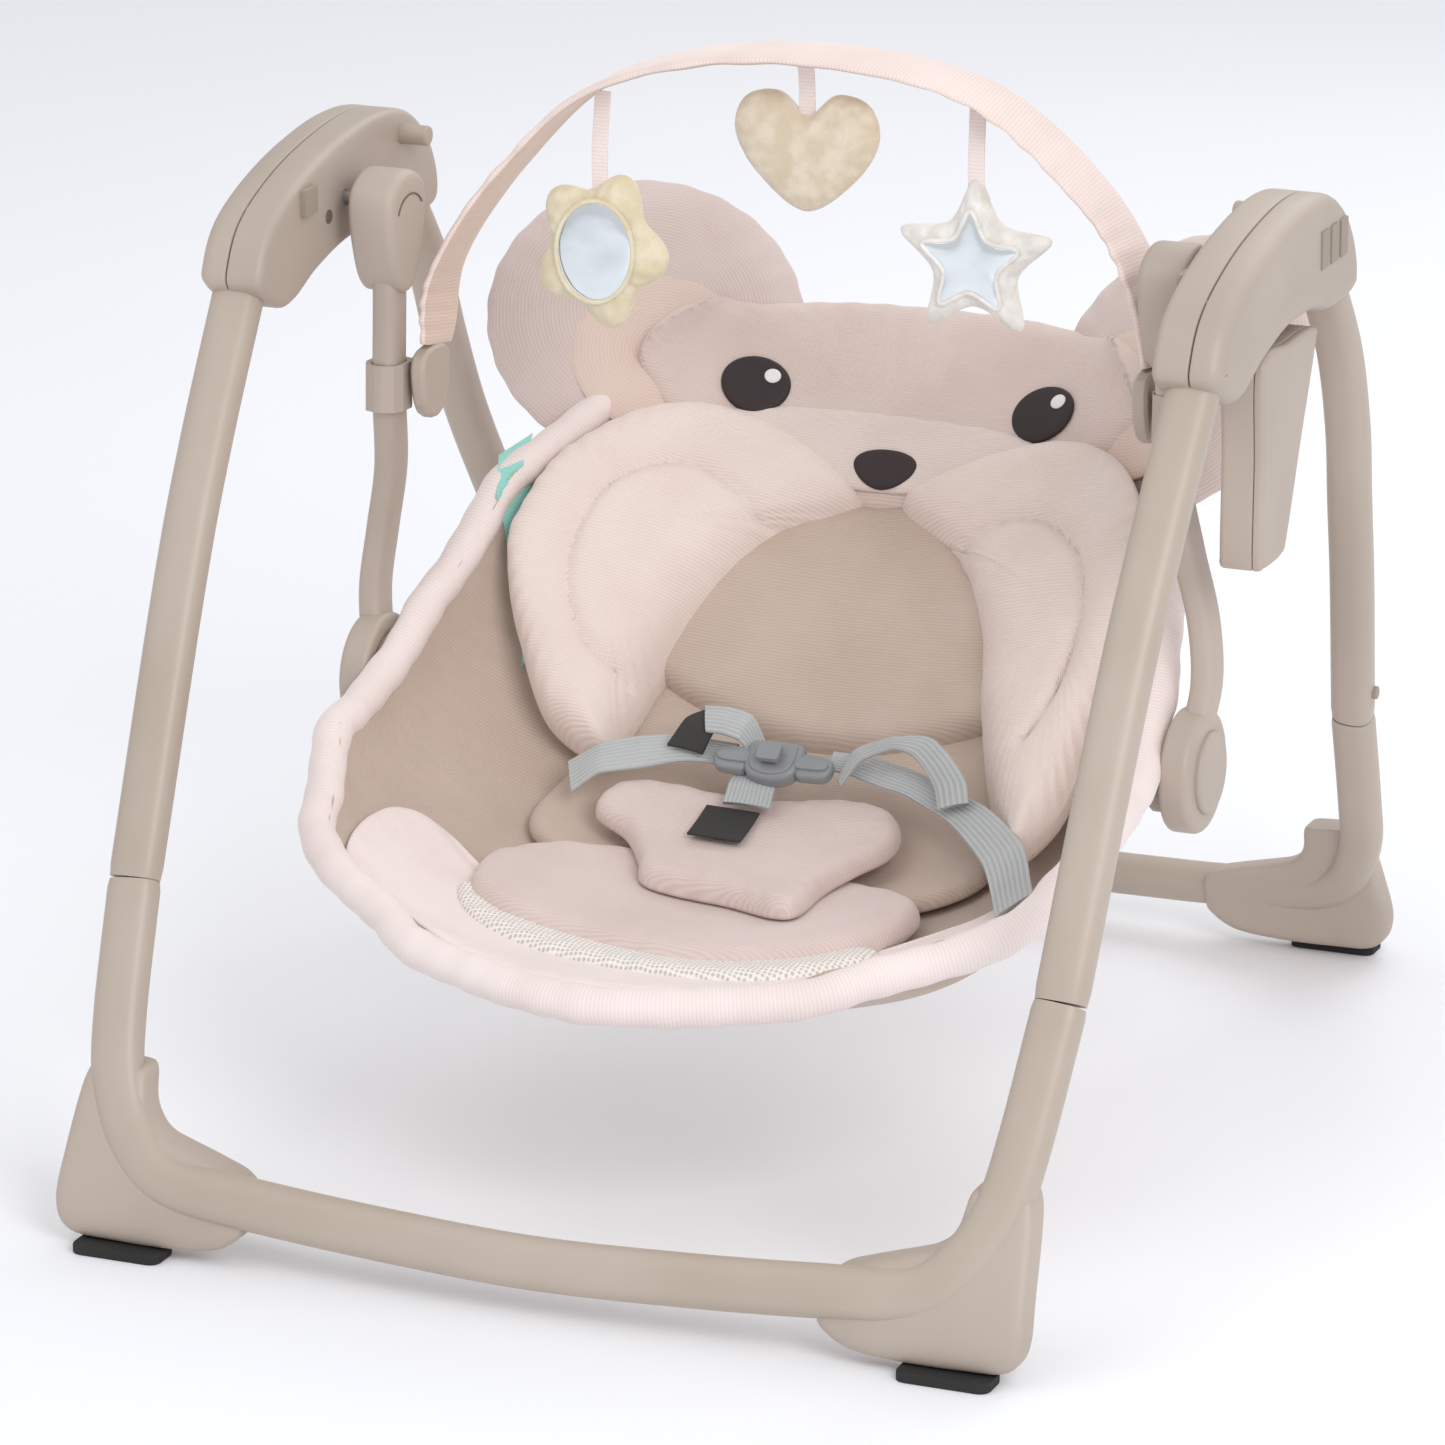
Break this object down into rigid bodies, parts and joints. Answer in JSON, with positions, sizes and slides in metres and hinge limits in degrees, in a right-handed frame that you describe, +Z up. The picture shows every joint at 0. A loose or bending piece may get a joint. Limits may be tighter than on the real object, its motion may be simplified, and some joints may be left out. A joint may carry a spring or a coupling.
{
  "type": "baby swing",
  "caption": "Portable folding baby swing: two-bow stand, hub housings, swing arms, reclining padded bucket seat with harness, and a toy bar with hanging toys.",
  "frame": {"origin": "on the floor, under the middle of the footprint of the opened stand", "axes": "+Z up, the seat faces -Y, +X is to the right seen from the front"},
  "size_m": [0.6196, 0.79, 0.6343],
  "materials": {
    "shell_plastic": "satin moulded, warm taupe",
    "dark_plastic": "satin moulded, darker taupe",
    "tube_paint": "satin powder coat on steel tube, warm taupe",
    "rubber_black": "matte",
    "steel": "bare steel",
    "pink_fabric": "brushed woven polyester, pale pink",
    "cream_fabric": "brushed woven polyester over wadding, cream pink",
    "rose_fabric": "ribbed polyester, dusty rose",
    "tan_fabric": "woven polyester, tan",
    "toy_plush_yellow": "short plush, straw yellow",
    "toy_plush_tan": "short plush, tan",
    "toy_plush_white": "short plush, off white",
    "grey_plastic": "satin moulded, grey",
    "board_green": "solder mask",
    "gear_nylon": "moulded nylon",
    "cell_wrap": "printed shrink sleeve, plain"
  },
  "bodies": {
    "front_stand": {"front_leg_left": "tube_paint", "front_leg_right": "tube_paint", "front_foot_left": "shell_plastic", "front_foot_right": "shell_plastic", "front_pad_left": "rubber_black", "front_pad_right": "rubber_black", "front_base_bow": "tube_paint", "hub_inner_shell_left": "shell_plastic", "hub_inner_shell_right": "shell_plastic", "hub_outer_shell_left": "shell_plastic", "hub_outer_shell_right": "shell_plastic", "swing_motor": "steel", "control_board": "board_green", "battery_box": "dark_plastic", "battery_1": "cell_wrap", "battery_2": "cell_wrap", "battery_3": "cell_wrap", "battery_4": "cell_wrap"},
    "rear_stand": {"rear_leg_left": "tube_paint", "rear_leg_right": "tube_paint", "rear_foot_left": "shell_plastic", "rear_foot_right": "shell_plastic", "rear_pad_left": "rubber_black", "rear_pad_right": "rubber_black", "rear_base_bow": "tube_paint"},
    "swing": {"swing_arm_left": "shell_plastic", "swing_arm_right": "shell_plastic", "swing_shaft_left": "steel", "swing_shaft_right": "steel", "hub_cap_left": "shell_plastic", "hub_cap_right": "shell_plastic", "toy_bar_clamp_left": "dark_plastic", "toy_bar_clamp_right": "dark_plastic", "drive_gear": "gear_nylon"},
    "seat": {"seat_shell": "tan_fabric", "body_insert": "cream_fabric", "head_pad": "rose_fabric", "ear_pad_left": "rose_fabric", "ear_pad_right": "rose_fabric", "recline_hub_left": "dark_plastic", "recline_hub_right": "dark_plastic", "seat_rim_front": "steel", "seat_rim_back": "steel", "crotch_pad": "rose_fabric", "harness_buckle": "grey_plastic"},
    "toy_bar": {"toy_bar": "pink_fabric", "toy_bar_holder_left": "dark_plastic", "toy_bar_holder_right": "dark_plastic"},
    "toy_flower": {"toy_flower": "toy_plush_yellow"},
    "toy_heart": {"toy_heart": "toy_plush_tan"},
    "toy_star": {"toy_star": "toy_plush_white"},
    "battery_door": {"battery_door": "shell_plastic"},
    "buckle_button": {"buckle_button": "grey_plastic"},
    "rear_leg_button_left": {"rear_leg_button_left": "steel"},
    "fold_release_button_left": {"fold_release_button_left": "shell_plastic"},
    "rear_leg_button_right": {"rear_leg_button_right": "steel"},
    "fold_release_button_right": {"fold_release_button_right": "shell_plastic"},
    "control_button_1": {"control_button_1": "dark_plastic"},
    "control_button_2": {"control_button_2": "dark_plastic"},
    "control_button_3": {"control_button_3": "dark_plastic"}
  },
  "joints": [
    {"name": "leg_fold", "type": "hinge", "parent": "front_stand", "child": "rear_stand", "pos_m": [0.289, 0.0785, 0.522], "axis": [-1, 0, 0], "range_deg": [0, 26]},
    {"name": "seat_swing", "type": "hinge", "parent": "front_stand", "child": "swing", "pos_m": [0, -0.0255, 0.527], "axis": [1, 0, 0], "range_deg": [-12, 12]},
    {"name": "seat_recline", "type": "hinge", "parent": "swing", "child": "seat", "pos_m": [0, -0.0195, 0.238], "axis": [-1, 0, 0], "range_deg": [0, 16]},
    {"name": "toy_bar_tilt", "type": "hinge", "parent": "swing", "child": "toy_bar", "pos_m": [0, -0.0095, 0.431], "axis": [0.9977, 0, 0.0671], "range_deg": [-15, 45]},
    {"name": "toy_flower_dangle", "type": "hinge", "parent": "toy_bar", "child": "toy_flower", "pos_m": [-0.116, -0.0015, 0.59], "axis": [1, 0, 0], "range_deg": [-15, 15]},
    {"name": "toy_heart_dangle", "type": "hinge", "parent": "toy_bar", "child": "toy_heart", "pos_m": [0.013, -0.0075, 0.624], "axis": [1, 0, 0], "range_deg": [-30, 30]},
    {"name": "toy_star_dangle", "type": "hinge", "parent": "toy_bar", "child": "toy_star", "pos_m": [0.116, -0.0045, 0.601], "axis": [1, 0, 0], "range_deg": [-30, 30]},
    {"name": "battery_door_hinge", "type": "hinge", "parent": "front_stand", "child": "battery_door", "pos_m": [0.305, -0.0305, 0.369], "axis": [0, 1, 0], "range_deg": [0, 95]},
    {"name": "fold_release_left", "type": "slide", "parent": "front_stand", "child": "fold_release_button_left", "axis": [-1, 0, 0], "range_m": [0, 0.0025], "stiffness_N_per_m": 400},
    {"name": "leg_snap_left", "type": "slide", "parent": "rear_stand", "child": "rear_leg_button_left", "axis": [1, 0, 0], "range_m": [0, 0.0015], "stiffness_N_per_m": 400},
    {"name": "fold_release_right", "type": "slide", "parent": "front_stand", "child": "fold_release_button_right", "axis": [1, 0, 0], "range_m": [0, 0.0025], "stiffness_N_per_m": 400},
    {"name": "leg_snap_right", "type": "slide", "parent": "rear_stand", "child": "rear_leg_button_right", "axis": [-1, 0, 0], "range_m": [0, 0.0015], "stiffness_N_per_m": 400},
    {"name": "control_press_1", "type": "slide", "parent": "front_stand", "child": "control_button_1", "axis": [-1, 0, 0], "range_m": [0, 0.0012], "stiffness_N_per_m": 300},
    {"name": "control_press_2", "type": "slide", "parent": "front_stand", "child": "control_button_2", "axis": [-1, 0, 0], "range_m": [0, 0.0012], "stiffness_N_per_m": 300},
    {"name": "control_press_3", "type": "slide", "parent": "front_stand", "child": "control_button_3", "axis": [-1, 0, 0], "range_m": [0, 0.0012], "stiffness_N_per_m": 300},
    {"name": "buckle_press", "type": "slide", "parent": "seat", "child": "buckle_button", "axis": [0, 0.581, -0.8139], "range_m": [0, 0.0012], "stiffness_N_per_m": 300}
  ]
}
